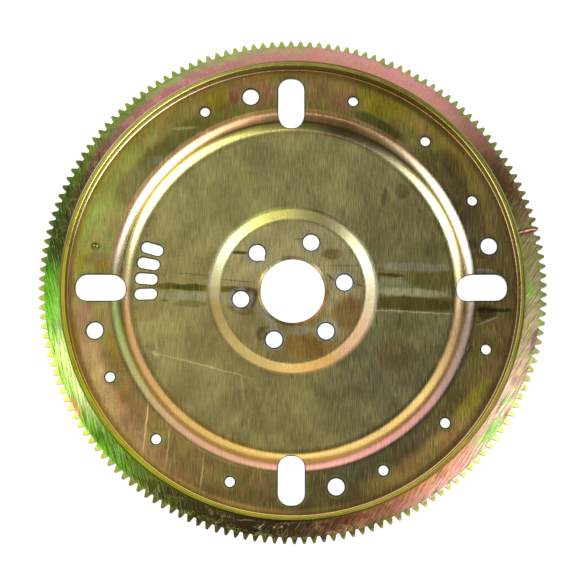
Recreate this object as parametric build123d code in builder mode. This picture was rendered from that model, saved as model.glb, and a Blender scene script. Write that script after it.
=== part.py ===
from build123d import *

import os
from math import acos, ceil, cos, pi, radians, sin, tan

# Flexplate: a pressed steel drive plate with an external ring gear welded round its upturned rim.
# Units are millimetres. The origin is the centre of the crankshaft seat, on the back of the plate,
# and +Z points to the converter side. Angles are counted from +X towards +Y.

# Converter studs. Their circle sets the size of the plate: the dish, the rim and the ring gear
# follow from it.
stud_circle_radius = 144.78
stud_hole_diameter = 11.9
stud_hole_count = 4
stud_first_angle = 12.2

# Crankshaft bolts: six on one circle, one of them moved round so that the plate fits one way only
crank_circle_radius = 38.1
crank_hole_diameter = 12.0
crank_hole_count = 6
crank_first_angle = 9.3
crank_offset_hole = 2
crank_offset_angle = 3.5

# Sheet thickness, and how far each pressed level rises above the one before
sheet_thickness = 2.8
disc_rise = 3.0
annulus_rise = 10.0
rim_height = 10.0

# Where the levels meet, on the converter-side face: how far the pad reaches past the crankshaft
# bolts, and how far the foot of the dish and the rim are from the stud circle
pad_margin = 14.4
pad_step_run = 9.1
stud_foot_margin = 23.28
stud_rim_margin = 17.52
dish_slope_angle = 60.0

# Bend radii, each on the inside of its bend. The two creases of the shallow pad step are sharp.
pad_crease = 0
foot_bend = 5.7
shoulder_bend = 2.8
rim_bend = 2.0
rim_edge_bevel = 0.6

# A bend is drawn as flats that turn by at most this many degrees each
bend_flat_angle = 75.0

# Crankshaft register bore with its lead-in bevel
bore_radius = 23.3
bore_bevel_width = 2.2
bore_bevel_depth = 1.5

# Index notch in the side of the moved bolt hole, towards the bore
notch_width = 2.5
notch_reach = 7.5

# Small tooling holes between the studs, a little further out
tooling_circle_offset = 0.22
tooling_hole_diameter = 7.0
tooling_steps = (14.0, 36.0, 60.0)
tooling_short_quarter = 1

# Access windows across the dish step, on a pattern that sits a little off centre. Each end is
# almost a half circle, with a short flat left between its two rounded corners.
window_count = 4
window_foot_overlap = 1.7
window_rim_margin = 7.3
window_width = 19.0
window_end_flat = 1.8
window_shift_x = -1.0
window_shift_y = 0.4

# Group of four timing slots
timing_slot_count = 4
timing_first_angle = 163.5
timing_pitch_angle = 6.0
timing_foot_margin = 15.0
timing_slot_length = 16.2
timing_slot_width = 8.0
timing_end_flat = 1.2

# Locating dimple pressed in the outer annulus, on the circle of the tooling holes
dimple_angle = 168.0
dimple_diameter = 4.4
dimple_depth = 0.8

# Ring gear
tooth_count = 164
whole_depth = 4.7
ring_body_height = 11.46
pressure_angle = 20.0
tooth_backlash = 0.33
first_tooth_angle = 0.364
ring_width = 10.5
lead_in_drop = 2.7

# Weld beads behind the ring, in the corner between the sheet's bend and the ring's back face
weld_bead_count = 8
weld_bead_angle = 16.0
weld_first_angle = 14.5
weld_bead_radius = 2.5
weld_bead_sides = 6
weld_inset = 0.5

# Levels that follow
pad_level = sheet_thickness
disc_level = pad_level + disc_rise
annulus_level = disc_level + annulus_rise
plate_height = annulus_level + rim_height
ring_back_level = plate_height - ring_width

# Radii that follow
pad_radius = crank_circle_radius + pad_margin
dish_foot_radius = stud_circle_radius - stud_foot_margin
dish_shoulder_radius = dish_foot_radius + annulus_rise / tan(radians(dish_slope_angle))
rim_inner_radius = stud_circle_radius + stud_rim_margin
rim_outer_radius = rim_inner_radius + sheet_thickness
root_radius = rim_outer_radius + ring_body_height
tip_radius = root_radius + whole_depth
tooling_circle_radius = stud_circle_radius + tooling_circle_offset
window_inner_radius = dish_foot_radius - window_foot_overlap
window_outer_radius = rim_inner_radius - window_rim_margin
window_corner = (window_width - window_end_flat) / 2
timing_circle_radius = dish_foot_radius - timing_foot_margin
timing_slot_corner = (timing_slot_width - timing_end_flat) / 2
pitch_diameter = 2 * tip_radius * tooth_count / (tooth_count + 2)
base_radius = pitch_diameter / 2 * cos(radians(pressure_angle))
half_pitch_angle = pi / tooth_count


def involute(angle):
    # Involute function of an angle in radians
    return tan(angle) - angle


def gap_half_angle(radius):
    # Half the angle of the space between two teeth at a radius, in radians
    tooth_thickness = pi * pitch_diameter / tooth_count / 2 - tooth_backlash
    half_tooth = tooth_thickness / pitch_diameter + involute(radians(pressure_angle))
    return half_pitch_angle - half_tooth + involute(acos(base_radius / radius))


def flank_point(radius, side):
    # Point on the flank at a radius, on the left (-1) or the right (1) of the gap's centre line
    angle = side * gap_half_angle(radius)
    return (radius * cos(angle), radius * sin(angle))


# Section of the sheet, from the bevelled bore to the end of the rim, one thickness all the way
with BuildSketch(Plane.XZ) as plate_section:
    with BuildLine():
        face_line = FilletPolyline(
            (bore_radius, pad_level),
            (pad_radius, pad_level),
            (pad_radius + pad_step_run, disc_level),
            (dish_foot_radius, disc_level),
            (dish_shoulder_radius, annulus_level),
            (rim_inner_radius, annulus_level),
            (rim_inner_radius, plate_height),
            radius=[
                pad_crease,
                pad_crease,
                foot_bend,
                shoulder_bend + sheet_thickness,
                rim_bend,
            ],
            mode=Mode.PRIVATE,
        )
        face_points = [face_line @ 0]
        for edge in face_line.edges():
            flats = 1
            if edge.geom_type == GeomType.CIRCLE:
                flats = ceil(edge.length / edge.radius / radians(bend_flat_angle))
            face_points += [edge @ (flat / flats) for flat in range(1, flats + 1)]
        Polyline(*face_points)
        offset(amount=sheet_thickness, side=Side.RIGHT, kind=Kind.INTERSECTION)
    make_face()
    chamfer(plate_section.vertices().group_by(Axis.Y)[-1].sort_by(Axis.X)[-1], length=rim_edge_bevel)
    bore_wall = plate_section.edges().sort_by(Axis.X)[0]
    chamfer(
        bore_wall.vertices().sort_by(Axis.Y)[-1],
        length=bore_bevel_depth,
        length2=bore_bevel_width,
        reference=bore_wall,
    )

# Drive plate: the pressed sheet, with all its holes and windows pierced through
with BuildPart() as drive_plate:
    revolve(plate_section.sketch, axis=Axis.Z)

    # Everything that is pierced straight through the sheet
    with BuildSketch(Plane.XY) as piercings:
        for hole in range(crank_hole_count):
            moved = crank_offset_angle if hole == crank_offset_hole else 0
            angle = crank_first_angle + hole * 360 / crank_hole_count + moved
            with PolarLocations(crank_circle_radius, 1, start_angle=angle):
                Circle(crank_hole_diameter / 2)
                if hole == crank_offset_hole:
                    with Locations((-notch_reach / 2, 0)):
                        Rectangle(notch_reach, notch_width)
        with PolarLocations(stud_circle_radius, stud_hole_count, start_angle=stud_first_angle):
            Circle(stud_hole_diameter / 2)
        for quarter in range(stud_hole_count):
            steps = tooling_steps[:1] if quarter == tooling_short_quarter else tooling_steps
            for step in steps:
                angle = stud_first_angle + quarter * 360 / stud_hole_count + step
                with PolarLocations(tooling_circle_radius, 1, start_angle=angle):
                    Circle(tooling_hole_diameter / 2)
        with Locations((window_shift_x, window_shift_y)):
            with PolarLocations((window_inner_radius + window_outer_radius) / 2, window_count):
                RectangleRounded(
                    window_outer_radius - window_inner_radius, window_width, window_corner
                )
        for slot in range(timing_slot_count):
            angle = timing_first_angle + slot * timing_pitch_angle
            with PolarLocations(timing_circle_radius, 1, start_angle=angle):
                RectangleRounded(timing_slot_length, timing_slot_width, timing_slot_corner)
    extrude(amount=plate_height, mode=Mode.SUBTRACT)

    # The dimple is a shallow cone
    with Locations(Plane.XY.offset(annulus_level)):
        with PolarLocations(tooling_circle_radius, 1, start_angle=dimple_angle):
            Cone(
                0,
                dimple_diameter / 2,
                dimple_depth,
                align=(Align.CENTER, Align.CENTER, Align.MAX),
                mode=Mode.SUBTRACT,
            )

# Gap between two teeth, open beyond the tips
with BuildSketch() as tooth_gap:
    with BuildLine():
        Polyline(
            flank_point(tip_radius + whole_depth, -1),
            flank_point(root_radius, -1),
            flank_point(root_radius, 1),
            flank_point(tip_radius + whole_depth, 1),
            close=True,
        )
    make_face()

# Ring gear: a blank with one flat for each tooth, bevelled where the starter pinion slides in,
# with the gaps cut through its corners
with BuildPart() as ring_gear:
    first_gap_angle = first_tooth_angle + 180 / tooth_count
    with BuildSketch(Plane.XY.offset(ring_back_level)):
        RegularPolygon(tip_radius, tooth_count, major_radius=False, rotation=first_gap_angle)
        Circle(rim_outer_radius, mode=Mode.SUBTRACT)
    extrude(amount=ring_width)
    front_face = ring_gear.faces().sort_by(Axis.Z)[-1]
    chamfer(
        front_face.outer_wire().edges(),
        length=whole_depth,
        length2=lead_in_drop,
        reference=front_face,
    )
    with BuildSketch(Plane.XY.offset(ring_back_level)):
        with PolarLocations(0, tooth_count, start_angle=first_gap_angle):
            add(tooth_gap.sketch)
    extrude(amount=ring_width, mode=Mode.SUBTRACT)

# One weld bead: a run of weld that fills the corner between the sheet's bend and the ring's back
with BuildPart() as weld_bead:
    with BuildSketch(Plane.XZ) as bead_section:
        with Locations((rim_outer_radius - weld_inset, ring_back_level)):
            RegularPolygon(weld_bead_radius, weld_bead_sides)
        with Locations((rim_outer_radius, ring_back_level)):
            Rectangle(whole_depth, ring_width, align=(Align.MIN, Align.MIN), mode=Mode.SUBTRACT)
        add(plate_section.sketch_local, mode=Mode.SUBTRACT)
    revolve(axis=Axis.Z, revolution_arc=weld_bead_angle)

with BuildPart() as ring_weld_beads:
    with PolarLocations(0, weld_bead_count, start_angle=weld_first_angle):
        add(weld_bead.part)

drive_plate.part.label = "drive_plate"
ring_gear.part.label = "ring_gear"
ring_weld_beads.part.label = "ring_weld_beads"

os.makedirs("parts", exist_ok=True)
export_step(drive_plate.part, "parts/drive_plate.step")
export_step(ring_gear.part, "parts/ring_gear.step")
export_step(ring_weld_beads.part, "parts/ring_weld_beads.step")
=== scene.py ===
import math

import bmesh
import bpy
from mathutils import Matrix, Vector


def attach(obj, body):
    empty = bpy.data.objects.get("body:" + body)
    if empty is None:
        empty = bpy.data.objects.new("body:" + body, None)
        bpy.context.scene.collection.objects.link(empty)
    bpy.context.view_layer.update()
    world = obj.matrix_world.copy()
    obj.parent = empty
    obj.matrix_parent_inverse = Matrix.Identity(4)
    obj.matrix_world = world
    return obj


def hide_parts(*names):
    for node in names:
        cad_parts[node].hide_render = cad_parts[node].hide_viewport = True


# Flexplate with yellow zinc plating. The sizes in the dictionaries are millimetres and degrees,
# counted from +X towards +Y, and the meshes are metres. Colours are as they read on a screen.
mm = 0.001
photoSize = 583

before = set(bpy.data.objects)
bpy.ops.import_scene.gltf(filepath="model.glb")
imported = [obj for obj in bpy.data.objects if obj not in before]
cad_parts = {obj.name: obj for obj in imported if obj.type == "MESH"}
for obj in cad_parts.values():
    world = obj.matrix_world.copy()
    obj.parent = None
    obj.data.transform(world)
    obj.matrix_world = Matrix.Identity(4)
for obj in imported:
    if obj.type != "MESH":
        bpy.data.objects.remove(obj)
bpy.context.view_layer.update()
scene = bpy.context.scene
scene.view_settings.view_transform = "Standard"
print("frame loaded:", ", ".join(sorted(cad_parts)))


def polar(radius, angle, height=0.0):
    # A point at a radius and an angle round the axis, in metres
    turn = math.radians(angle)
    return Vector((radius * math.cos(turn), radius * math.sin(turn), height)) * mm


def turned(radius, angle, height=0.0):
    # Moves something from the origin to that point, and turns it to face outwards there
    turn = Matrix.Rotation(math.radians(angle), 4, "Z")
    return Matrix.Translation(polar(radius, angle, height)) @ turn


def newVerts(made):
    return [item for item in made["geom"] if isinstance(item, bmesh.types.BMVert)]


def facesOf(verts):
    return list({face for vert in verts for face in vert.link_faces})


def atRadius(vert, radius, near=0.02):
    # Whether a corner lies that far from the axis, give or take a little
    return abs(vert.co.xy.length - radius * mm) < near * mm


def ringEdges(bm, radius, height, near=0.02):
    # The edges of the circle at that radius and height
    def onRing(vert):
        return atRadius(vert, radius, near) and abs(vert.co.z - height * mm) < near * mm

    return [edge for edge in bm.edges if all(onRing(vert) for vert in edge.verts)]


def roundEdges(bm, geom, width, segments, affect="EDGES", clamp=False):
    # Rounds edges or corners, to a width on each side of them
    return bmesh.ops.bevel(
        bm,
        geom=geom,
        offset=width * mm,
        offset_type="OFFSET",
        affect=affect,
        segments=segments,
        profile=0.5,
        clamp_overlap=clamp,
        material=-1,
    )


def smoothFaces(bm):
    for face in bm.faces:
        face.smooth = True


def meshOf(bm, name):
    mesh = bpy.data.meshes.new(name)
    bm.to_mesh(mesh)
    bm.free()
    return mesh


def finishPiece(name, mesh, material, node):
    # Makes a mesh one piece of the object, which stands for its CAD node
    piece = bpy.data.objects.new(name, mesh)
    scene.collection.objects.link(piece)
    mesh.materials.append(material)
    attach(piece, "root")
    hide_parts(node)
    shade = piece.modifiers.new("shading", "WEIGHTED_NORMAL")
    shade.mode, shade.weight, shade.keep_sharp = "FACE_AREA", 80, True
    return piece


class Graph:
    # Shorthands for the nodes of one material

    def __init__(self, name):
        self.material = bpy.data.materials.new(name)
        self.material.use_nodes = True
        self.tree = self.material.node_tree
        self.tree.nodes.clear()

    def add(self, kind, inputs=None, **settings):
        made = self.tree.nodes.new(kind)
        for key, value in settings.items():
            setattr(made, key, value)
        for key, value in (inputs or {}).items():
            if isinstance(value, bpy.types.NodeSocket):
                self.tree.links.new(value, made.inputs[key])
            else:
                made.inputs[key].default_value = value
        return made

    def math(self, operation, a, b=0.0):
        return self.add("ShaderNodeMath", {0: a, 1: b}, operation=operation).outputs[0]

    def times(self, a, b):
        return self.math("MULTIPLY", a, b)

    def vector(self, operation, a, b=(0.0, 0.0, 0.0), output=0):
        return self.add("ShaderNodeVectorMath", {0: a, 1: b}, operation=operation).outputs[output]

    def length(self, a):
        return self.vector("LENGTH", a, output="Value")

    def local(self, vector, middle=(0.0, 0.0, 0.0), turn=0.0, size=(1.0, 1.0, 1.0)):
        # The place within a patch that has its own middle, turn and size
        made = self.add(
            "ShaderNodeMapping",
            {
                "Vector": vector,
                "Location": middle,
                "Rotation": (0.0, 0.0, math.radians(turn)),
                "Scale": size,
            },
            vector_type="TEXTURE",
        )
        return made.outputs[0]

    def noise(self, vector, turn, size, detail, roughness):
        place = self.local(vector, turn=turn, size=size)
        settings = {"Vector": place, "Scale": 1.0, "Detail": detail, "Roughness": roughness}
        return self.add("ShaderNodeTexNoise", settings).outputs["Fac"]

    def span(self, value, low, high, toLow=0.0, toHigh=1.0, smooth=True):
        made = self.add(
            "ShaderNodeMapRange",
            {"Value": value, "From Min": low, "From Max": high, "To Min": toLow, "To Max": toHigh},
            interpolation_type="SMOOTHSTEP" if smooth else "LINEAR",
        )
        return made.outputs["Result"]

    def band(self, value, start, end, soft, strength):
        # The strength between start and end, with soft edges
        up = self.span(value, start - soft, start + soft, 0.0, strength)
        down = self.span(value, end - soft, end + soft, 1.0, 0.0)
        return self.times(up, down)

    def fade(self, level, strength):
        # Draws a level towards a half where the strength is low
        return self.math("ADD", self.times(self.math("SUBTRACT", level, 0.5), strength), 0.5)

    def blend(self, a, b, shareOfB):
        return self.math("ADD", self.times(a, 1.0 - shareOfB), self.times(b, shareOfB))

    def mix(self, factor, a, b, blend="MIX"):
        inputs = {"Factor": factor, "A": a, "B": b}
        return self.add("ShaderNodeMix", inputs, data_type="RGBA", blend_type=blend).outputs["Result"]

    def tint(self, colour, level, low, high, dark, light):
        # Multiplies a colour by a tint that goes from dark to light as the level goes from low to high
        share = self.span(level, low, high, smooth=False)
        return self.mix(1.0, colour, self.mix(share, (*dark, 1.0), (*light, 1.0)), "MULTIPLY")

    def bump(self, height, strength, distance):
        inputs = {"Height": height, "Strength": strength, "Distance": distance}
        return self.add("ShaderNodeBump", inputs).outputs[0]

    def ramp(self, factor, stops, spline="LINEAR"):
        made = self.add("ShaderNodeValToRGB", {"Fac": factor})
        ramp = made.color_ramp
        ramp.interpolation = spline
        ramp.elements[0].position, ramp.elements[1].position = stops[0][0], stops[-1][0]
        for position, _ in stops[1:-1]:
            ramp.elements.new(position)
        for element, (_, shade) in zip(ramp.elements, stops):
            element.color = shade
        return made.outputs["Color"]

    def round(self, turn, stops, read):
        # Colours at angles round the axis, which meet themselves after a full turn
        shades = [(angle / 360, read(*shade)) for angle, shade in sorted(stops.items())]
        (first, firstShade), (last, lastShade) = shades[0], shades[-1]
        share = (1.0 - last) / (first + 1.0 - last)
        seam = tuple(a + (b - a) * share for a, b in zip(lastShade, firstShade))
        return self.ramp(turn, [(0.0, seam), *shades, (1.0, seam)], "EASE")

    def palette(self, turn, finish, read):
        # Reads a colour of the finish where it is used, because a shader holds few values at once
        def look(name):
            shades = finish[name]
            return read(*shades) if isinstance(shades, tuple) else self.round(turn, shades, read)

        return look

    def ovals(self, spot, marks):
        # The masks of soft ovals, each with its colour: middle x and y, half length, half width,
        # turn, colour and strength. The spot's height is 1, so that a dot product can also shift it,
        # and an edge fades from 1.3 to 0.7 of the oval's size.
        for x, y, halfLength, halfWidth, turn, shade, strength in marks.values():
            spin = Matrix.Rotation(math.radians(turn), 2)
            parts = []
            for axis in (spin @ Vector((1 / halfLength, 0)), spin @ Vector((0, 1 / halfWidth))):
                plane = (*axis, -axis.dot(Vector((x, y))))
                parts.append(self.vector("DOT_PRODUCT", spot, plane, "Value"))
            place = self.add("ShaderNodeCombineXYZ", {0: parts[0], 1: parts[1]}).outputs[0]
            yield self.span(self.length(place), 1.3, 0.7, 0.0, strength), shade

    def patches(self, spot, colour, marks, read):
        for mask, shade in self.ovals(spot, marks):
            colour = self.mix(mask, colour, read(*shade))
        return colour

    def complete(self, **inputs):
        # Closes the material with its shader
        named = {key.replace("_", " "): value for key, value in inputs.items()}
        shader = self.add("ShaderNodeBsdfPrincipled", named)
        self.add("ShaderNodeOutputMaterial", {"Surface": shader.outputs[0]})
        return self.material


def screenColour(red, green, blue):
    # A screen colour as the shader takes it
    def linear(share):
        return share / 12.92 if share <= 0.04045 else ((share + 0.055) / 1.055) ** 2.4

    return (*(linear(part / 255) for part in (red, green, blue)), 1.0)


def metalColour(share):
    # The same for a metal that shows only a share of its own colour in the studio's light
    def read(red, green, blue):
        return (*(min(1.0, part / share) for part in screenColour(red, green, blue)[:3]), 1.0)

    return read


platedColour, groundColour, scratchColour = metalColour(0.45), metalColour(1.05), metalColour(0.95)


def grey(level):
    return (level, level, level, 1.0)


def places(graph, wobble, wobbleScale):
    # Millimetres on the piece, the same flat, and slightly wavy at height 1, the radius, and the
    # share of a turn
    here = graph.add("ShaderNodeTexCoord").outputs["Object"]
    spot = graph.local(here, size=(mm, mm, mm))
    parts = graph.add("ShaderNodeSeparateXYZ", {0: spot})
    flat = graph.vector("MULTIPLY", spot, (1.0, 1.0, 0.0))
    waves = graph.add("ShaderNodeTexNoise", {"Vector": spot, "Scale": wobbleScale, "Detail": 1.0})
    ripple = graph.vector("SUBTRACT", waves.outputs["Color"], (0.5, 0.5, 0.5))
    shift = graph.vector("MULTIPLY", ripple, (wobble, wobble, 0.0))
    wavy = graph.vector("ADD", graph.vector("ADD", flat, (0.0, 0.0, 1.0)), shift)
    angle = graph.math("ARCTAN2", parts.outputs[1], parts.outputs[0])
    turn = graph.math("FRACT", graph.math("ADD", graph.math("DIVIDE", angle, math.tau), 1.0))
    return spot, flat, wavy, graph.length(flat), turn


plateFinishAndLight = {
    # Colours at a few angles round the axis, for each form that catches the light in its own way.
    # They are the plating's own tints with painted highlights and painted shade, so the light stays put
    # as the view moves.
    "pad": {40: (152, 142, 102), 140: (160, 148, 104), 220: (138, 126, 82), 285: (132, 112, 66)},
    "disc": {10: (110, 105, 70), 90: (130, 125, 82), 180: (145, 135, 86), 270: (125, 115, 74),
             315: (100, 95, 68)},
    "annulus": {20: (78, 68, 44), 75: (110, 100, 54), 140: (100, 95, 46), 165: (150, 145, 84),
                205: (134, 110, 66), 255: (106, 90, 52), 290: (76, 70, 48), 345: (90, 80, 44)},
    "outerAnnulus": {10: (90, 78, 46), 50: (120, 100, 50), 110: (126, 106, 58), 160: (142, 148, 74),
                     205: (180, 142, 98), 250: (100, 82, 46), 280: (76, 68, 40),
                     310: (132, 108, 62), 345: (90, 75, 45)},
    "bevel": {20: (35, 28, 22), 75: (150, 134, 100), 130: (42, 38, 30), 182: (130, 115, 75),
              250: (44, 38, 24), 330: (112, 78, 48)},
    "step": {10: (156, 154, 130), 68: (76, 68, 46), 108: (148, 144, 78), 160: (158, 156, 126),
             195: (114, 95, 60), 240: (130, 112, 70), 290: (136, 104, 58), 325: (156, 124, 100)},
    "moat": {30: (90, 84, 54), 90: (135, 118, 74), 195: (120, 115, 60), 240: (124, 98, 40),
             315: (70, 62, 38)},
    "foot": {20: (155, 155, 120), 70: (64, 56, 40), 110: (150, 144, 84), 155: (158, 156, 120),
             195: (132, 100, 68), 255: (146, 120, 66), 320: (160, 134, 86), 345: (116, 92, 68)},
    "wall": {40: (42, 36, 24), 95: (52, 46, 34), 140: (92, 74, 54), 190: (62, 50, 26),
             240: (134, 108, 84), 300: (172, 134, 92), 345: (130, 92, 90)},
    "shoulder": {15: (155, 150, 135), 70: (104, 76, 54), 110: (155, 118, 90), 160: (158, 140, 126),
                 188: (100, 112, 66), 245: (140, 104, 84), 300: (150, 104, 100), 350: (98, 86, 80)},
    "glow": {20: (70, 60, 42), 110: (165, 135, 86), 155: (180, 142, 98), 200: (124, 102, 62),
             245: (132, 112, 66), 290: (70, 60, 46)},
    "edge": {30: (105, 88, 50), 60: (90, 78, 30), 100: (162, 126, 62), 150: (185, 155, 62),
             190: (145, 112, 50), 240: (150, 122, 64), 300: (96, 76, 44)},
    "crease": {28: (80, 70, 48), 65: (116, 84, 52), 140: (140, 134, 114), 190: (108, 84, 40),
               235: (150, 136, 58), 310: (156, 126, 96)},
    "rim": {10: (124, 118, 66), 50: (100, 94, 44), 130: (156, 152, 82), 180: (138, 132, 46),
            205: (126, 136, 34), 260: (120, 114, 40), 335: (140, 130, 64)},
    "joint": {20: (50, 56, 18), 70: (100, 90, 42), 140: (112, 102, 60), 180: (100, 88, 30),
              230: (44, 40, 8), 300: (54, 44, 8), 345: (70, 70, 26)},
    "holeRing": {20: (76, 72, 50), 110: (110, 100, 60), 200: (122, 130, 70), 290: (96, 92, 56)},
    "rimWall": (54, 52, 30),
    "holeEdgeShade": (16, 15, 6),
    "halo": (140, 138, 126),
    "goldLine": (158, 148, 66),
    # How strongly the brush marks show
    "brushing": {0: (1.4,), 60: (1.2,), 130: (0.9,), 210: (0.8,), 270: (1.0,), 320: (1.4,)},
    # Radii where one colour gives way to the next
    "discStart": (50, 53),
    "annulusStart": (128, 132),
    "outerAnnulusStart": (142, 150),
    # Bands of colour along the bends: radius from and to, softness and strength
    # They paint the bends' highlights and shade: step, moat, foot, shoulder, glow, edge, crease and rim
    # are bright where they faced the lamps,
    # and the bore's bevel, the wall between foot and shoulder, the rim's inner wall and the groove where
    # the rim meets the ring are mostly painted shade.
    "zones": {
        "bevel": (20.0, 25.7, 0.3, 0.95),
        "step": (52.5, 62.0, 0.8, 0.85),
        "moat": (115.0, 117.8, 0.9, 0.7),
        "glow": (130.6, 133.2, 0.7, 0.8),
        "foot": (117.6, 124.1, 0.5, 0.95),
        "shoulder": (124.7, 131.0, 0.5, 0.9),
        "wall": (123.8, 125.0, 0.4, 0.7),
        "edge": (157.4, 161.3, 1.4, 0.7),
        "crease": (161.2, 162.22, 0.1, 0.9),
        "rimWall": (162.25, 162.35, 0.04, 0.9),
        "rim": (162.35, 170.0, 0.05, 1.0),
        "joint": (164.45, 170.0, 0.15, 0.95),
    },
    # Noises: turn, size in millimetres, detail and roughness
    "hueNoise": (0, (9, 16, 9), 3, 0.5),
    "hazeNoise": (0, (5, 5, 5), 3, 0.5),
    "broadNoise": (86, (13, 0.9, 1), 2, 0.6),
    "fineNoise": (92, (10, 0.55, 1), 2, 0.5),
    "crossNoise": (4, (9, 1.0, 1), 2, 0.5),
    "cloudNoise": (0, (22, 22, 22), 4, 0.55),
    "fineShare": 0.6,
    "wobble": (2.2, 0.16),
    # Tints: the noise's range, and the factors of a colour at its two ends
    "hueTint": (0.35, 0.65, (1.08, 0.94, 1.04), (0.92, 1.06, 0.9)),
    "brushTint": (0.3, 0.7, (0.55, 0.54, 0.6), (1.56, 1.58, 1.4)),
    "crossTint": (0.3, 0.7, (0.94, 0.95, 0.96), (1.06, 1.05, 1.04)),
    "cloudTint": (0.3, 0.7, (0.96, 0.94, 0.92), (1.04, 1.06, 1.08)),
    # Fades, by radius, by the gap to the nearest hole or by a noise: from and to, and the shares there
    "hueStart": (126, 134),
    "haloGap": (5.0, 1.0, 0.0, 0.85),
    "haloHaze": (0.35, 0.6),
    "haloEnd": (60, 90, 1.0, 0.0),
    "holeRingGap": (3.4, 1.8, 0.0, 0.6),
    "holeRingStart": (125, 132),
    "holeEdgeShadeGap": (0.95, 0.5, 0.0, 0.95),
    "facing": (-0.3, -0.1),
    "brushEnd": (159, 161.5, 1.0, 0.15),
    "goldFine": (0.58, 0.7),
    "goldBroad": (0.45, 0.6, 0.0, 0.5),
    # Where the brush marks are faint: radius from and to, softness and strength
    "calm": [(53.5, 61.0, 1.5, 0.65), (119.0, 130.0, 1.5, 0.65)],
    # Metallic by wear, roughness by the cloud noise, and the bump's strength and depth in metres
    "metallic": (0.0, 1.0, 1.0, 0.7),
    "roughness": (0.3, 0.7, 0.25, 0.32),
    "bump": (0.03, 0.0003),
}
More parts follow.
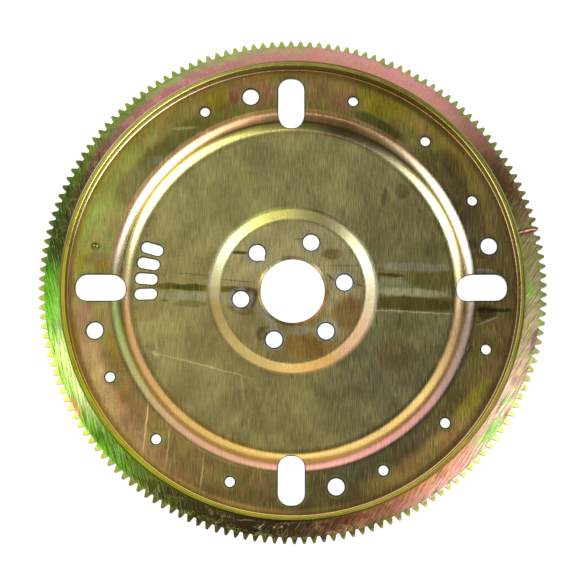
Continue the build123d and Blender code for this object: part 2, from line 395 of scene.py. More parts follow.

# Stains, smears and dark hairlines on the face, and the dimple's painted shade: middle x and y, half
# length, half width, turn, colour and strength
plateMarks = {
    "barOlive": (-90, 3, 17.0, 2.3, -2, (92, 86, 16), .8),
    "barDark": (-71, 2, 17.0, 2.7, -2, (60, 64, 22), .85),
    "barStep": (-56, 1, 8.1, 2.6, -2, (150, 128, 0), .7),
    "barPadOlive": (-44, 1, 13.0, 2.4, -3, (78, 72, 18), .8),
    "barPadBrown": (-33, 0, 12.0, 2.9, -9, (84, 60, 36), .8),
    "hairLeft": (-72.4, 11.6, 12.1, 0.36, -6.7, (78, 72, 44), .6),
    "hairPad": (-43.4, 7.5, 20.2, 0.36, -5, (70, 64, 44), .6),
    "paleLeft": (-71, -4, 28.1, 2.3, -1, (150, 145, 118), .5),
    "greenLeft": (-74, -10, 12.2, 2.5, -2, (84, 90, 50), .5),
    "brownLeft": (-106, -16, 12.9, 6.5, 10, (125, 98, 62), .5),
    "dashLeft": (-92.4, -7.2, 3.2, 0.50, 2, (80, 64, 40), .7),
    "streakRight": (71, 11, 10.0, 1.3, -4, (68, 52, 24), .85),
    "paleRight": (73, 3, 13.6, 5.7, 0, (132, 132, 100), .6),
    "tongueRight": (87, -2, 25.1, 3.3, -4, (152, 150, 114), .8),
    "oliveRight": (104, 8, 19.3, 7.2, 0, (90, 82, 34), .7),
    "redRight": (118, 5, 2.9, 11.5, 0, (88, 50, 26), .7),
    "smearRight": (90, 17, 30.1, 3.2, -2, (132, 130, 112), .55),
    "barRight": (87, -10, 35.3, 5.4, -3, (74, 62, 24), .85),
    "edgeRight": (84.8, -15.8, 40.1, 0.65, -3, (160, 160, 126), .55),
    "ringSmudge": (101, 30, 5.7, 6.5, 0, (74, 72, 48), .4),
    "smudgeTall": (67, 69, 1.9, 7.2, -6, (64, 58, 34), .65),
    "smudgeWide": (80, 73, 5.0, 5.7, 0, (74, 64, 38), .65),
    "patchLow": (74, -47, 13.6, 12.2, 0, (90, 68, 44), .5),
    "patchFaint": (-33, 83, 8.6, 6.5, 0, (120, 124, 62), .35),
    "darkLow": (104, -71, 18.6, 6.5, 52, (66, 66, 54), .5),
    "darkUp": (-86, 93, 24.4, 8.6, 50, (88, 98, 76), .4),
    "padBrownUp": (29, 27, 7.9, 4.0, 0, (108, 84, 38), .65),
    "padRed": (41, -16, 11.5, 12.9, -10, (114, 80, 42), .7),
    "padLow": (11, -41, 17.3, 7.9, -8, (122, 92, 38), .7),
    "padLowLeft": (-22, -31, 4.3, 5.8, -20, (84, 62, 28), .75),
    "padLeftBrown": (-38, -13, 9.3, 4.3, -12, (98, 78, 34), .65),
    "padBlack": (-28, -7, 2.2, 5.8, -20, (50, 44, 30), .75),
    "streakHole": (-38, 28, 6.5, 1.2, 0, (60, 54, 18), .85),
    "streakTop": (4.6, 37.9, 3.2, 0.58, 0, (74, 62, 34), .7),
    "crackRight": (27.9, 9.4, 4.3, 0.72, -50, (60, 50, 30), .75),
    "hairTop": (38.1, 18.5, 13.7, 0.50, 0, (94, 76, 44), .5),
    "hairRight": (46.7, 4.7, 5.0, 0.86, -22, (78, 72, 44), .65),
    "greyLow": (-18, -20, 14.4, 2.3, -52, (146, 144, 134), .5),
    "greyMid": (5, -29, 11.5, 2.9, 6, (138, 134, 118), .5),
    "greenPatch": (64, 136, 19.9, 9.9, -28, (108, 104, 22), .7),
    "darkShoulder": (63, 120, 21.3, 4.6, -30, (52, 50, 22), .7),
    "pinkHole": (38, 138, 9.2, 8.5, 0, (128, 84, 66), .65),
    "pinkTopRight": (19, 148, 14.2, 12.8, 0, (126, 98, 68), .6),
    "pinkTopLeft": (-27, 144, 17.0, 10.7, 10, (124, 84, 64), .65),
    "magentaSpot": (-43, 141, 3.6, 5.0, 0, (110, 52, 50), .6),
    "yellowTopLeft": (-58, 137, 6.4, 12.8, -50, (134, 116, 22), .65),
    "pinkHoleLeft": (-64, 129, 7.1, 5.7, 0, (128, 92, 60), .6),
    "scuffGrey": (-98, 93, 5.0, 4.3, 0, (112, 122, 96), .55),
    "greyField": (-109, 79, 11.4, 18.5, -40, (118, 114, 72), .55),
    "dimplePink": (-141, 22, 11.4, 4.3, 0, (132, 108, 74), .55),
    # The dimple's three ovals paint its shade: dark in the pit, set up and to the left, with a paler spot
    # lower right
    "dimpleRim": (-141.8, 30.2, 3.4, 3.4, 0, (96, 84, 52), .6),
    "dimplePaintedShade": (-142.1, 30.4, 2.8, 2.5, 0, (50, 42, 20), .8),
    "dimplePit": (-141.4, 29.8, 1.4, 1.4, 0, (86, 74, 42), .6),
    "yellowEdge": (-152, 19, 3.6, 9.9, -6, (142, 132, 18), .6),
    "yellowPatch": (-137, 16, 6.4, 5.0, 0, (138, 118, 28), .65),
    "redWindow": (-159, 2, 2.8, 12.8, 0, (118, 70, 62), .65),
    "pinkLeftLow": (-149, -22, 7.1, 18.5, 8, (144, 102, 84), .6),
    "orangeEdge": (-155, -34, 2.1, 17.0, 12, (134, 100, 36), .6),
    "yellowLow": (-128, -42, 2.8, 12.8, 12, (144, 118, 24), .6),
    "orangeStreak": (-120, -77, 1.4, 8.5, -14, (158, 110, 36), .65),
    "pinkLow": (-112, -98, 11.4, 7.1, -40, (136, 108, 74), .55),
    "blueLow": (115, -60, 22.7, 4.3, 56, (56, 58, 50), .7),
    "blueLower": (78, -101, 17.0, 5.0, 32, (60, 62, 56), .6),
    "yellowRightLow": (129, -79, 5.0, 17.0, -38, (128, 122, 26), .5),
    "brownBlob": (139, -17.5, 7.0, 5.5, 0, (50, 40, 25), .8),
    "blobEdge": (139, -24, 8.0, 0.7, 20, (130, 130, 104), .6),
    "windowDark": (138, -16, 22.3, 1.7, 0, (36, 32, 14), .85),
    "studSmudgeUp": (131, 32, 3.6, 2.8, 0, (60, 54, 34), .7),
    "studSmudgeLow": (135, 24, 5.0, 2.8, 0, (62, 48, 28), .8),
    "paleStud": (136, 12, 9.2, 2.1, -4, (126, 126, 110), .6),
    "darkTopRight": (118, 87, 5.7, 17.0, 28, (62, 56, 34), .6),
    "darkBottom": (14, -135, 4.3, 12.8, 0, (62, 62, 38), .45),
}

# Bare scratches and scuffs, given in the same way. The plating is worn there and mirrors less.
plateScratches = {
    "scratchLong": (-68.1, -53.7, 37.7, 0.6, -14.8, (190, 178, 118), .85),
    "scratchStart": (-98.6, -38.5, 0.8, 7.2, 8, (190, 180, 116), .85),
    "scratchBlob": (-99, -46, 2.9, 1.4, -30, (200, 190, 130), .9),
    "scratchEnd": (-35.7, -71.0, 9.6, 0.5, 98, (176, 166, 110), .7),
    "scuffLong": (-79, 118, 9.2, 1.0, 4, (170, 166, 122), .65),
    "scuffShort": (-63.9, 114.3, 4.3, 1.0, 45, (166, 162, 122), .6),
    "scratchTall": (-104.2, -100.5, 21.5, 0.65, 84.6, (224, 192, 134), .95),
    "scratchMid": (-88.2, -113.5, 17.5, 0.5, 84, (200, 172, 124), .75),
    "scratchLow": (-64.0, -131.1, 13.6, 0.5, 84, (196, 168, 118), .7),
    "dashUpper": (125.3, -41.8, 3.0, 0.6, 70, (176, 160, 130), .7),
    "dashLower": (121.6, -47.6, 2.4, 0.6, 70, (170, 152, 124), .7),
}


def holeGap(graph, flat):
    # How far a place is from the nearest pierced edge
    outlines = []
    for kind in (holes["crank"], holes["studs"], holes["tooling"]):
        for angle in kind["angles"]:
            outlines.append((*polar(kind["circle"], angle).xy / mm, 0, 0, kind["radius"]))
    for kind in (holes["timing"], holes["windows"]):
        for angle in kind["angles"]:
            middle = polar(kind["circle"], angle).xy / mm + Vector(kind["shift"])
            radius = kind["width"] / 2
            outlines.append((*middle, angle, kind["length"] / 2 - radius, radius))
    nearest = None
    for x, y, angle, halfLength, radius in outlines:
        if halfLength:
            place = graph.vector("ABSOLUTE", graph.local(flat, (x, y, 0.0), angle))
            place = graph.vector("MAXIMUM", graph.vector("SUBTRACT", place, (halfLength, 0.0, 0.0)))
            reach = graph.length(place)
        else:
            reach = graph.vector("DISTANCE", flat, (x, y, 0.0), "Value")
        gap = graph.math("SUBTRACT", reach, radius)
        nearest = graph.math("MINIMUM", nearest, gap) if nearest else gap
    return nearest


def makePlateFinishAndLight():
    graph = Graph("plateZincAndPaintedLight")
    finish = plateFinishAndLight
    spot, flat, wavy, radius, turn = places(graph, *finish["wobble"])
    look = graph.palette(turn, finish, platedColour)

    # Colours from the middle outwards, with their painted highlights and shade, then the stains,
    # scratches and halos round the holes
    bare = graph.mix(graph.span(radius, *finish["discStart"]), look("pad"), look("disc"))
    bare = graph.mix(graph.span(radius, *finish["annulusStart"]), bare, look("annulus"))
    bare = graph.mix(graph.span(radius, *finish["outerAnnulusStart"]), bare, look("outerAnnulus"))
    hue = graph.noise(wavy, *finish["hueNoise"])
    hue = graph.fade(hue, graph.span(radius, *finish["hueStart"]))
    bare = graph.tint(bare, hue, *finish["hueTint"])
    face = graph.patches(wavy, bare, plateMarks, platedColour)
    worn = 0.0
    for mask, shade in graph.ovals(wavy, plateScratches):
        face = graph.mix(mask, face, scratchColour(*shade))
        worn = graph.math("MAXIMUM", worn, mask)
    gap = holeGap(graph, flat)
    haze = graph.noise(spot, *finish["hazeNoise"])
    around = graph.times(graph.span(gap, *finish["haloGap"]), graph.span(haze, *finish["haloHaze"]))
    around = graph.times(around, graph.span(radius, *finish["haloEnd"]))
    face = graph.mix(around, face, look("halo"))
    around = graph.span(gap, *finish["holeRingGap"])
    around = graph.times(around, graph.span(radius, *finish["holeRingStart"]))
    face = graph.mix(around, face, look("holeRing"))
    # Painted highlights and painted shade along the bends
    for name, band in finish["zones"].items():
        face = graph.mix(graph.band(radius, *band), face, look(name))
    # A dark line painted round every pierced edge is painted shade at the holes' edges
    face = graph.mix(graph.span(gap, *finish["holeEdgeShadeGap"]), face, look("holeEdgeShade"))
    normal = graph.add("ShaderNodeTexCoord").outputs["Normal"]
    upwards = graph.add("ShaderNodeSeparateXYZ", {0: normal}).outputs[2]
    colour = graph.mix(graph.span(upwards, *finish["facing"]), bare, face)

    # Straight brush marks, nearly along Y, which fade on the upturned rim and on the bends
    inside = graph.span(radius, *finish["brushEnd"])
    for band in finish["calm"]:
        inside = graph.times(inside, graph.math("SUBTRACT", 1.0, graph.band(radius, *band)))
    broad = graph.noise(flat, *finish["broadNoise"])
    fine = graph.noise(flat, *finish["fineNoise"])
    cross = graph.noise(flat, *finish["crossNoise"])
    cloud = graph.noise(spot, *finish["cloudNoise"])
    marks = graph.blend(broad, fine, finish["fineShare"])
    depth = graph.times(inside, graph.palette(turn, finish, grey)("brushing"))
    colour = graph.tint(colour, graph.fade(marks, depth), *finish["brushTint"])
    colour = graph.tint(colour, cross, *finish["crossTint"])
    colour = graph.tint(colour, cloud, *finish["cloudTint"])
    gold = graph.times(graph.span(fine, *finish["goldFine"]), graph.span(broad, *finish["goldBroad"]))
    colour = graph.mix(graph.times(gold, inside), colour, look("goldLine"))
    return graph.complete(
        Base_Color=colour,
        Metallic=graph.span(worn, *finish["metallic"], smooth=False),
        Roughness=graph.span(cloud, *finish["roughness"]),
        Normal=graph.bump(fine, *finish["bump"]),
    )


gearFinishAndLight = {
    # Colours of the face near the plate, near the teeth, and on the teeth, at angles round the axis.
    # Like the tips and the lip below, they are the plating's tints with painted highlights and painted
    # shade.
    "inner": {5: (136, 132, 78), 26: (74, 56, 32), 58: (204, 146, 126), 125: (200, 130, 130),
              155: (92, 78, 46), 170: (58, 72, 20), 184: (130, 190, 70), 200: (236, 250, 165),
              222: (98, 136, 42), 240: (84, 74, 34), 266: (56, 42, 22), 290: (140, 86, 55),
              308: (232, 156, 116), 330: (244, 212, 178), 352: (176, 166, 112)},
    "outer": {5: (148, 138, 94), 25: (96, 70, 48), 65: (214, 148, 144), 112: (174, 168, 116),
              140: (116, 136, 58), 168: (56, 74, 22), 184: (105, 185, 40), 198: (205, 250, 120),
              220: (100, 165, 34), 238: (76, 80, 28), 262: (46, 42, 16), 290: (154, 108, 78),
              311: (240, 184, 168), 328: (236, 226, 176), 350: (178, 160, 122)},
    "teeth": {20: (100, 100, 56), 60: (130, 146, 70), 95: (146, 172, 74), 120: (124, 158, 54),
              160: (58, 90, 26), 200: (175, 210, 70), 255: (96, 90, 40), 290: (112, 106, 50),
              325: (170, 180, 96), 350: (144, 162, 84)},
    "tips": {10: (100, 106, 60), 95: (180, 172, 104), 125: (186, 130, 70), 155: (116, 98, 44),
             195: (240, 168, 120), 250: (116, 92, 40), 330: (210, 190, 108)},
    "lip": {20: (152, 150, 94), 75: (124, 98, 50), 140: (212, 190, 148), 180: (126, 114, 34),
            205: (108, 128, 22), 265: (48, 36, 12), 318: (158, 124, 68), 350: (104, 98, 44)},
    "scratch": (226, 232, 190),
    "stainEdge": (150, 146, 98),
    "stain": (48, 36, 20),
    # How strongly the grinding marks show, and where water stains lie
    "grinding": {5: (0.9,), 50: (0.1,), 125: (0.08,), 150: (0.7,), 172: (1.0,), 222: (1.3,),
                 240: (0.9,), 258: (0.3,), 275: (0.9,)},
    "staining": {20: (0.3,), 60: (0.0,), 160: (0.5,), 190: (0.0,), 228: (0.2,), 245: (1.0,),
                 278: (0.9,), 300: (0.1,)},
    # Fades, by radius or by a noise: from and to, and the shares there
    "outerStart": (167.5, 174.5),
    "teethStart": (174.6, 177.6),
    "tipStart": (178.6, 180.5, 0.0, 0.85),
    "lipEnd": (166.1, 165.8),
    "uneven": (0.3, 0.7, -1.6, 1.6),
    "pool": (0.46, 0.5, 0.0, 0.6),
    "poolEdge": (0.445, 0.46, 0.006, 0.55),
    "rightSide": (-45, -20),
    "grindEnd": (176.0, 177.5, 1.0, 0.25),
    "bright": (0.6, 0.7, 0.0, 0.6),
    # Noises: turn, size in millimetres, detail and roughness
    "unevenNoise": (0, (7, 7, 7), 3, 0.5),
    "poolNoise": (0, (13, 8, 10), 3, 0.55),
    "hueNoise": (0, (8, 8, 8), 2, 0.5),
    "grainNoise": (0, (0.9, 0.9, 0.9), 3, 0.6),
    "wobble": (1.6, 0.2),
    # Grinding marks: their turn on the left and on the right, and their sizes
    "grindTurns": (103, 57),
    "grindSizes": {"broad": (16, 1.1, 1), "fine": (16, 0.38, 1)},
    "grindDetail": (3, 0.6),
    "fineShare": 0.4,
    # Tints: the noise's range, and the factors of a colour at its two ends
    "grindTint": (0.38, 0.62, (0.34, 0.4, 0.36), (1.66, 1.6, 1.64)),
    "hueTint": (0.35, 0.65, (1.03, 0.94, 1.08), (0.98, 1.04, 0.88)),
    "grainTint": (0.3, 0.7, (0.86, 0.86, 0.86), (1.14, 1.14, 1.14)),
    "bump": (0.25, 0.0003),
    "shine": {"Metallic": 0.6, "Roughness": 0.38, "Specular_IOR_Level": 0.05},
}

gearMarks = {
    "blushLeft": (-152.5, -86.0, 8.0, 2.6, 119, (226, 124, 98), .6),
    "greenRight": (169.4, -2.8, 2.6, 6.0, 0, (130, 178, 60), .7),
    "greenHigh": (163, -58.5, 5.5, 2.0, 70, (160, 222, 110), .45),
    "greenUpper": (149.2, -82.3, 7.0, 2.4, 60, (165, 232, 120), .5),
    "greenLowRight": (139.8, -103.0, 9.5, 3.4, 53, (150, 232, 96), .65),
    "greenLowest": (130.0, -110.0, 5.5, 2.2, 50, (170, 226, 120), .45),
    "pinkSmall": (151.8, -88, 3.0, 3.0, 0, (236, 162, 158), .5),
    "pinkLowRight": (159.8, -61.6, 10.0, 5.0, 65, (236, 162, 158), .5),
    "purpleRight": (171, -38, 8.0, 2.2, 77, (140, 86, 104), .6),
    "greenTop": (-30, 171, 14, 2.2, 10, (170, 176, 120), .35),
    "dotLeft": (-13.2, -169.4, 0.8, 0.8, 0, (236, 150, 120), .9),
    "dotRight": (-7.7, -169.2, 0.8, 0.8, 0, (236, 150, 120), .9),
    "hookLong": (-32.5, -164.6, 6.3, 0.45, -4.6, (176, 170, 138), .7),
    "hookShort": (-22.1, -168.6, 2.6, 0.5, 34, (184, 176, 150), .75),
    "weldShade": (168.2, 40.0, 7.8, 1.9, 14.6, (66, 34, 24), .85),
    "weldLine": (168.2, 40.0, 7.4, 0.75, 14.6, (240, 178, 150), .95),
}


def makeGearFinishAndLight():
    graph = Graph("gearZincAndPaintedLight")
    finish = gearFinishAndLight
    spot, flat, wavy, radius, turn = places(graph, *finish["wobble"])
    look = graph.palette(turn, finish, groundColour)
    strength = graph.palette(turn, finish, grey)
    uneven = graph.span(graph.noise(spot, *finish["unevenNoise"]), *finish["uneven"])
    reach = graph.math("ADD", radius, uneven)
    colour = graph.mix(graph.span(reach, *finish["outerStart"]), look("inner"), look("outer"))
    colour = graph.mix(graph.span(reach, *finish["teethStart"]), colour, look("teeth"))
    colour = graph.patches(wavy, colour, gearMarks, groundColour)

    # Water stains, dark with a paler edge
    pool = graph.noise(wavy, *finish["poolNoise"])
    staining = strength("staining")
    dark = graph.times(graph.span(pool, *finish["pool"]), staining)
    rimmed = graph.times(graph.band(pool, *finish["poolEdge"]), staining)
    colour = graph.mix(dark, colour, look("stain"))
    colour = graph.mix(rimmed, colour, look("stainEdge"))

    # Grinding marks, which cross the ring one way on the left and the other way on the right
    across = graph.add("ShaderNodeSeparateXYZ", {0: flat}).outputs[0]
    side = graph.span(across, *finish["rightSide"])
    marks = {}
    for name, size in finish["grindSizes"].items():
        left, right = (
            graph.noise(wavy, lie, size, *finish["grindDetail"]) for lie in finish["grindTurns"]
        )
        marks[name] = graph.add("ShaderNodeMix", {0: side, 2: left, 3: right}).outputs[0]
    swept = graph.blend(marks["broad"], marks["fine"], finish["fineShare"])
    onFace = graph.times(strength("grinding"), graph.span(radius, *finish["grindEnd"]))
    level = graph.fade(swept, onFace)
    colour = graph.tint(colour, level, *finish["grindTint"])
    bright = graph.times(graph.span(marks["fine"], *finish["bright"]), onFace)
    colour = graph.mix(bright, colour, look("scratch"))
    colour = graph.tint(colour, graph.noise(wavy, *finish["hueNoise"]), *finish["hueTint"])
    colour = graph.tint(colour, graph.noise(spot, *finish["grainNoise"]), *finish["grainTint"])
    # The tooth tips and the inner lip take their own colours, with painted highlights and shade along
    # those edges
    colour = graph.mix(graph.span(radius, *finish["tipStart"]), colour, look("tips"))
    colour = graph.mix(graph.span(radius, *finish["lipEnd"]), colour, look("lip"))
    return graph.complete(Base_Color=colour, Normal=graph.bump(level, *finish["bump"]), **finish["shine"])


weldFinish = {
    # Levels of the noise, each with its colour
    "blots": [(0.3, (96, 82, 48)), (0.5, (150, 136, 78)), (0.72, (168, 128, 110))],
    "blotNoise": (0, (1.6, 1.6, 1.6), 4, 0.6),
    "wobble": (0.8, 0.4),
    "bump": (0.3, 0.0004),
    "shine": {"Metallic": 0.85, "Roughness": 0.42},
}


def makeWeldFinish():
    graph = Graph("weldZinc")
    finish = weldFinish
    _, _, wavy, _, _ = places(graph, *finish["wobble"])
    blot = graph.noise(wavy, *finish["blotNoise"])
    colour = graph.ramp(blot, [(level, groundColour(*shade)) for level, shade in finish["blots"]])
    return graph.complete(Base_Color=colour, Normal=graph.bump(blot, *finish["bump"]), **finish["shine"])


plate = {
    "thickness": 2.8,
    "back": 0.0,
    # The sheet's upper face, as radius and height from the bore to the rim
    "line": [(25.5, 2.8), (52.5, 2.8), (61.6, 5.8), (121.5, 5.8), (127.274, 15.8), (162.3, 15.8),
             (162.3, 25.8)],
    # Radius, height, width and segments of each bend
    "bends": [(52.5, 2.8, 1.2, 4), (61.6, 5.8, 2.4, 6), (121.5, 5.8, 5.2, 14), (127.274, 15.8, 5.2, 14),
              (162.3, 15.8, 1.1, 8)],
    "steps": 360,
    "rimRounds": [(162.3, 25.8, 0.9, 6), (165.1, 25.8, 0.5, 3)],
    "face": 15.8,
    # Edges sharper than this angle are rounded
    "edgeAngle": 32,
    "edgeRound": 0.22,
    "edgeSegments": 2,
    "sheetMerge": 0.001,
    "cutMerge": 0.01,
}

holes = {
    "bore": {"radius": 23.3, "bevelStart": 1.3},
    "crank": {"radius": 6.0, "circle": 38.1, "angles": [9.3, 69.3, 132.8, 189.3, 249.3, 309.3]},
    "notch": {"angle": 132.8, "reach": 7.8},
    "studs": {"radius": 5.95, "circle": 144.78, "angles": [12.2, 102.2, 192.2, 282.2]},
    "tooling": {"radius": 3.5, "circle": 145.0,
                "angles": [26.2, 48.2, 72.2, 116.2, 206.2, 228.2, 252.2, 296.2, 318.2, 342.2]},
    "windows": {"circle": 137.4, "angles": [0, 90, 180, 270], "shift": (-1.0, 0.4), "length": 35.2,
                "width": 19.0, "corner": 8.6},
    "timing": {"circle": 106.5, "angles": [163.5, 169.5, 175.5, 181.5], "shift": (0.0, 0.0),
               "length": 16.2, "width": 8.0, "corner": 3.9},
    "dimple": {"circle": 145.0, "angle": 168.0, "ball": 3.4, "depth": 0.8, "segments": (48, 32)},
    "roundSegments": 64,
    "cornerSegments": 12,
    # The cutters start below the plate and end above it
    "cutFrom": -10.0,
    "cutReach": 60.0,
}


def pierce(bm, outline):
    # Turns a flat outline into a cutter that goes right through the plate
    made = bmesh.ops.extrude_face_region(bm, geom=outline)
    bmesh.ops.translate(bm, verts=newVerts(made), vec=(0, 0, holes["cutReach"] * mm))


def boxOutline(bm, place, length, width):
    size = Matrix.Diagonal((length * mm, width * mm, 1.0, 1.0))
    return bmesh.ops.create_grid(bm, x_segments=1, y_segments=1, size=0.5, matrix=place @ size)["verts"]


def pierceSlots(bm, slots):
    shift = Matrix.Translation(Vector((*slots["shift"], 0.0)) * mm)
    for angle in slots["angles"]:
        place = shift @ turned(slots["circle"], angle, holes["cutFrom"])
        corners = boxOutline(bm, place, slots["length"], slots["width"])
        rounded = roundEdges(bm, corners, slots["corner"], holes["cornerSegments"], "VERTICES")
        pierce(bm, facesOf(rounded["verts"]))


def pierceRounds(bm, rounds):
    for angle in rounds["angles"]:
        place = turned(rounds["circle"], angle, holes["cutFrom"])
        made = bmesh.ops.create_circle(
            bm,
            cap_ends=True,
            segments=holes["roundSegments"],
            radius=rounds["radius"] * mm,
            matrix=place,
        )
        pierce(bm, facesOf(made["verts"]))


def cut(mesh, cutterMesh, name):
    # The mesh with the cutter taken away from it
    body = bpy.data.objects.new(name, mesh)
    cutter = bpy.data.objects.new(name + "Cutter", cutterMesh)
    for item in (body, cutter):
        scene.collection.objects.link(item)
    tool = body.modifiers.new("cut", "BOOLEAN")
    tool.object, tool.operation, tool.solver = cutter, "DIFFERENCE", "EXACT"
    bpy.context.view_layer.update()
    shaped = body.evaluated_get(bpy.context.evaluated_depsgraph_get())
    result = bpy.data.meshes.new_from_object(shaped)
    for item in (body, cutter):
        bpy.data.objects.remove(item)
    return result


def pressedSheet():
    # The sheet's face line turned round the axis, bent, thickened downwards and rounded at the rim
    bm = bmesh.new()
    verts = [bm.verts.new((radius * mm, 0.0, height * mm)) for radius, height in plate["line"]]
    edges = [bm.edges.new(pair) for pair in zip(verts, verts[1:])]
    bmesh.ops.spin(
        bm,
        geom=verts + edges,
        axis=(0, 0, 1),
        cent=(0, 0, 0),
        angle=math.tau,
        steps=plate["steps"],
        use_merge=True,
    )
    bmesh.ops.remove_doubles(bm, verts=bm.verts, dist=plate["sheetMerge"] * mm)
    for radius, height, width, segments in plate["bends"]:
        roundEdges(bm, ringEdges(bm, radius, height), width, segments)
    bmesh.ops.recalc_face_normals(bm, faces=bm.faces)
    broadest = max(bm.faces, key=lambda face: face.calc_area())
    if broadest.normal.z < 0:
        bmesh.ops.reverse_faces(bm, faces=bm.faces)
    bmesh.ops.solidify(bm, geom=bm.faces[:], thickness=plate["thickness"] * mm)
    bmesh.ops.recalc_face_normals(bm, faces=bm.faces)
    for radius, height, width, segments in plate["rimRounds"]:
        roundEdges(bm, ringEdges(bm, radius, height), width, segments)

    # The bore's wall, with the bevel above it
    start, _ = plate["line"][0]
    upright = [edge for edge in bm.edges
               if all(atRadius(vert, start) for vert in edge.verts)
               and abs(edge.verts[0].co.z - edge.verts[1].co.z) > mm]
    made = bmesh.ops.subdivide_edges(bm, edges=upright, cuts=1)
    middle = [item for item in made["geom_inner"] if isinstance(item, bmesh.types.BMVert)]
    lowest = {vert for edge in ringEdges(bm, start, plate["back"]) for vert in edge.verts}
    for vert in [*middle, *lowest]:
        vert.co.xy *= holes["bore"]["radius"] / start
    for vert in middle:
        vert.co.z = holes["bore"]["bevelStart"] * mm
    return meshOf(bm, "pressedSheet")


def makePlate():
    mesh = pressedSheet()
    bm = bmesh.new()
    for name in ("crank", "studs", "tooling"):
        pierceRounds(bm, holes[name])
    for name in ("windows", "timing"):
        pierceSlots(bm, holes[name])
    bmesh.ops.recalc_face_normals(bm, faces=bm.faces)
    mesh = cut(mesh, meshOf(bm, "holeCutters"), "piercedPlate")

    bm = bmesh.new()
    notch, dimple = holes["notch"], holes["dimple"]
    place = turned(holes["crank"]["circle"] - notch["reach"] / 2, notch["angle"], holes["cutFrom"])
    cornerwise = place @ Matrix.Rotation(math.radians(45), 4, "Z")
    side = notch["reach"] / math.sqrt(2)
    pierce(bm, facesOf(boxOutline(bm, cornerwise, side, side)))
    centre = polar(dimple["circle"], dimple["angle"], plate["face"] + dimple["ball"] - dimple["depth"])
    around, upwards = dimple["segments"]
    bmesh.ops.create_uvsphere(
        bm,
        u_segments=around,
        v_segments=upwards,
        radius=dimple["ball"] * mm,
        matrix=Matrix.Translation(centre),
    )
    bmesh.ops.recalc_face_normals(bm, faces=bm.faces)
    mesh = cut(mesh, meshOf(bm, "notchCutter"), "notchedPlate")

    bm = bmesh.new()
    bm.from_mesh(mesh)
    bmesh.ops.remove_doubles(bm, verts=bm.verts, dist=plate["cutMerge"] * mm)
    bmesh.ops.dissolve_degenerate(bm, edges=bm.edges, dist=plate["cutMerge"] * mm)
    smoothFaces(bm)
    bm.to_mesh(mesh)
    bm.free()
    piece = finishPiece("drivePlate", mesh, makePlateFinishAndLight(), "drive_plate")
    edge = piece.modifiers.new("edges", "BEVEL")
    edge.width, edge.segments = plate["edgeRound"] * mm, plate["edgeSegments"]
    edge.limit_method, edge.angle_limit = "ANGLE", math.radians(plate["edgeAngle"])
    edge.use_clamp_overlap = True
    piece.modifiers.move(1, 0)
    print("drive plate:", len(mesh.polygons), "faces")


gear = {
    "teeth": 164,
    "tip": 181.25,
    "depth": 4.7,
    "pressureAngle": 20.0,
    "backlash": 0.33,
    "firstTooth": 0.364,
    "inner": 165.1,
    "back": 15.3,
    "front": 25.8,
    "leadInDrop": 2.7,
    "rootRound": 0.6,
    "rootSegments": 4,
    "edgeRound": 0.18,
    "edgeAngle": 28,
    "flankPoints": 4,
    "merge": 0.005,
    "sharpAngle": 30,
}


def halfTooth(radius):
    # Half the angle that a tooth takes at a radius, in degrees, on involute flanks
    pitchRadius = gear["tip"] * gear["teeth"] / (gear["teeth"] + 2)
    lean = math.radians(gear["pressureAngle"])
    atPitch = math.pi / gear["teeth"] / 2 - gear["backlash"] / 2 / pitchRadius
    here = math.acos(pitchRadius * math.cos(lean) / radius)
    return math.degrees(atPitch + math.tan(lean) - lean - math.tan(here) + here)


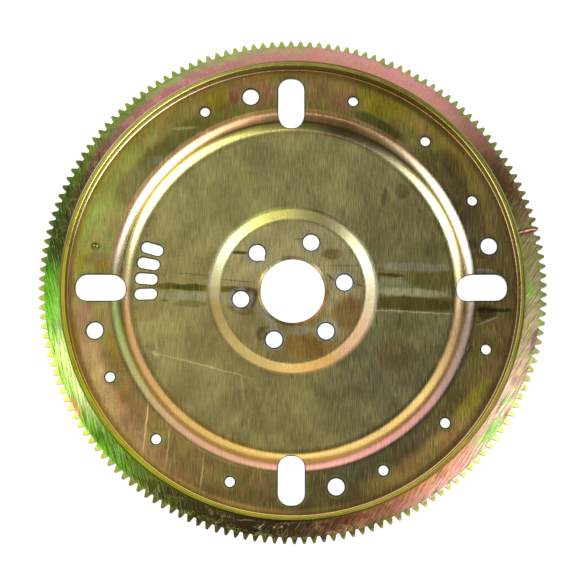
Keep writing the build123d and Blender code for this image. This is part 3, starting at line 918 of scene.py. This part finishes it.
def makeGear():
    # One tooth's share of the ring as a flat outline, raised, dropped towards the tip, and repeated
    root = gear["tip"] - gear["depth"]
    half = 180 / gear["teeth"]
    last = gear["flankPoints"] - 1
    steps = [root + gear["depth"] * step / last for step in range(last + 1)]
    right = [(gear["inner"], half), (root, half)] + [(radius, halfTooth(radius)) for radius in steps]
    bm = bmesh.new()
    outline = [bm.verts.new(polar(radius, -angle, gear["back"])) for radius, angle in right]
    outline += [bm.verts.new(polar(radius, angle, gear["back"])) for radius, angle in reversed(right)]
    bm.faces.new(outline)
    roundEdges(bm, [outline[2], outline[-3]], gear["rootRound"], gear["rootSegments"], "VERTICES")
    foot = sorted((vert for vert in bm.verts if atRadius(vert, root, near=0.01)),
                  key=lambda vert: abs(math.atan2(vert.co.y, vert.co.x)))[:2]
    bmesh.ops.connect_verts(bm, verts=foot)
    raised = newVerts(bmesh.ops.extrude_face_region(bm, geom=bm.faces[:]))
    bmesh.ops.translate(bm, verts=raised, vec=(0, 0, (gear["front"] - gear["back"]) * mm))
    for vert in raised:
        vert.co.z -= gear["leadInDrop"] * max(0.0, vert.co.xy.length - root * mm) / gear["depth"]

    # The two side walls would lie inside the ring, so they go before the copies are joined
    def onSide(vert):
        return abs(abs(math.degrees(math.atan2(vert.co.y, vert.co.x))) - half) < 0.01

    sides = [face for face in bm.faces if all(onSide(vert) for vert in face.verts)]
    bmesh.ops.delete(bm, geom=sides, context="FACES_ONLY")
    bmesh.ops.delete(bm, geom=[edge for edge in bm.edges if not edge.link_faces], context="EDGES")
    toFirst = Matrix.Rotation(math.radians(gear["firstTooth"]), 3, "Z")
    bmesh.ops.rotate(bm, verts=bm.verts, matrix=toFirst)
    copies = gear["teeth"] - 1
    bmesh.ops.spin(
        bm,
        geom=bm.verts[:] + bm.edges[:] + bm.faces[:],
        axis=(0, 0, 1),
        cent=(0, 0, 0),
        angle=math.radians(copies * 2 * half),
        steps=copies,
        use_duplicate=True,
    )
    bmesh.ops.remove_doubles(bm, verts=bm.verts, dist=gear["merge"] * mm)
    bmesh.ops.recalc_face_normals(bm, faces=bm.faces)
    sharp = [edge for edge in bm.edges
             if len(edge.link_faces) == 2 and edge.calc_face_angle() > math.radians(gear["edgeAngle"])]
    roundEdges(bm, sharp, gear["edgeRound"], 1, clamp=True)
    smoothFaces(bm)
    print("ring gear:", len(bm.faces), "faces")
    mesh = meshOf(bm, "ringGear")
    finishPiece("ringGear", mesh, makeGearFinishAndLight(), "ring_gear")
    mesh.set_sharp_from_angle(angle=math.radians(gear["sharpAngle"]))


beads = {
    "count": 8,
    "angle": 16.0,
    "first": 14.5,
    "radius": 2.3,
    "middle": (164.4, 15.1),
    "steps": 64,
    "sides": 16,
    "ripple": 0.07,
    "ripples": 15,
    "endTaper": 0.12,
    "endSize": 0.35,
    "sharpAngle": 40,
}


def makeBeads():
    # Each bead is a round section swept round the axis, with ripples, and tapered at both ends
    bm = bmesh.new()
    radius, height = beads["middle"]
    upright = Matrix.Rotation(math.radians(90), 4, "X")
    for bead in range(beads["count"]):
        start = beads["first"] + bead * 360 / beads["count"]
        before = set(bm.verts)
        made = bmesh.ops.create_circle(
            bm,
            cap_ends=True,
            segments=beads["sides"],
            radius=beads["radius"] * mm,
            matrix=turned(radius, start, height) @ upright,
        )
        bmesh.ops.spin(
            bm,
            geom=facesOf(made["verts"]),
            axis=(0, 0, 1),
            cent=(0, 0, 0),
            angle=math.radians(beads["angle"]),
            steps=beads["steps"],
        )
        for vert in set(bm.verts) - before:
            angle = math.degrees(math.atan2(vert.co.y, vert.co.x)) % 360
            along = ((angle - start + 180) % 360 - 180) / beads["angle"]
            swell = 1.0 - beads["ripple"] * (0.5 - 0.5 * math.cos(math.tau * beads["ripples"] * along))
            toEnd = min(1.0, max(0.0, min(along, 1.0 - along)) / beads["endTaper"])
            swell *= beads["endSize"] + (1.0 - beads["endSize"]) * math.sin(toEnd * math.pi / 2)
            middle = polar(radius, angle, height)
            vert.co = middle + (vert.co - middle) * swell
    bmesh.ops.recalc_face_normals(bm, faces=bm.faces)
    smoothFaces(bm)
    mesh = meshOf(bm, "weldBeads")
    finishPiece("weldBeads", mesh, makeWeldFinish(), "ring_weld_beads")
    mesh.set_sharp_from_angle(angle=math.radians(beads["sharpAngle"]))
    print("weld beads:", beads["count"])


makePlate()
makeGear()
makeBeads()

studio = {
    "airStrength": 0.235,
    "lights": {
        # Shape, angle round the part, height above the floor in degrees, distance, width and height
        # in metres, and radiance
        "leftSoftbox": ("ELLIPSE", 197, 37, 1.3, 0.8, 1.5, 4.5),
        "rightSoftbox": ("ELLIPSE", 326, 37, 1.3, 1.0, 1.5, 4.5),
        "farRightPanel": ("RECTANGLE", 55, 31, 1.3, 1.75, 1.5, 1.0),
        "farLeftPanel": ("RECTANGLE", 128, 31, 1.3, 1.75, 1.5, 1.0),
        "thinStrip": ("RECTANGLE", 255, 68, 1.3, 0.7, 0.1, 3.2),
    },
    "floorSize": 4.0,
    "floorGap": 0.0002,
    "floorColour": (0.15, 0.15, 0.15, 1.0),
    "floorRoughness": 0.9,
    "floorGlow": 0.95,
}


def makeStudio():
    world = bpy.data.worlds.new("studioAir")
    world.use_nodes = True
    air = world.node_tree.nodes["Background"].inputs
    air["Color"].default_value = (1.0, 1.0, 1.0, 1.0)
    air["Strength"].default_value = studio["airStrength"]
    scene.world = world
    for name, (shape, angle, rise, distance, width, height, radiance) in studio["lights"].items():
        light = bpy.data.lights.new(name, "AREA")
        light.shape, light.size, light.size_y = shape, width, height
        area = width * height * (math.pi / 4 if shape == "ELLIPSE" else 1.0)
        light.energy = radiance * math.pi * area
        lamp = bpy.data.objects.new(name, light)
        side, up = math.radians(angle), math.radians(rise)
        away = Vector((math.cos(side) * math.cos(up), math.sin(side) * math.cos(up), math.sin(up)))
        lamp.location = away * distance
        lamp.rotation_mode = "QUATERNION"
        lamp.rotation_quaternion = away.to_track_quat("Z", "Y")
        lamp.visible_camera = False
        scene.collection.objects.link(lamp)
    bm = bmesh.new()
    bmesh.ops.create_grid(
        bm, x_segments=1, y_segments=1, size=studio["floorSize"],
        matrix=Matrix.Translation((0, 0, -studio["floorGap"])),
    )
    mesh = meshOf(bm, "studioFloor")
    graph = Graph("paleFloor")
    material = graph.complete(
        Base_Color=studio["floorColour"],
        Roughness=studio["floorRoughness"],
        Emission_Color=(1.0, 1.0, 1.0, 1.0),
        Emission_Strength=studio["floorGlow"],
    )
    mesh.materials.append(material)
    floor = bpy.data.objects.new("studioFloor", mesh)
    scene.collection.objects.link(floor)
    print("studio ready")


# The camera looks down on the part, tipped a little as in the photo
view = {
    "place": (-0.0020, -0.1578, 1.0772),
    "tip": 8.3273,
    "roll": -0.0611,
    "focalPixels": 1494.626,
    "sensor": 36.0,
}


def makeCamera():
    camera = bpy.data.cameras.new("camera")
    camera.sensor_width = view["sensor"]
    camera.lens = view["focalPixels"] / photoSize * view["sensor"]
    eye = bpy.data.objects.new("camera", camera)
    eye.location = view["place"]
    eye.rotation_mode = "ZYX"
    eye.rotation_euler = (math.radians(view["tip"]), math.radians(view["roll"]), 0.0)
    scene.collection.objects.link(eye)
    scene.camera = eye
    print("camera ready")


makeStudio()
makeCamera()
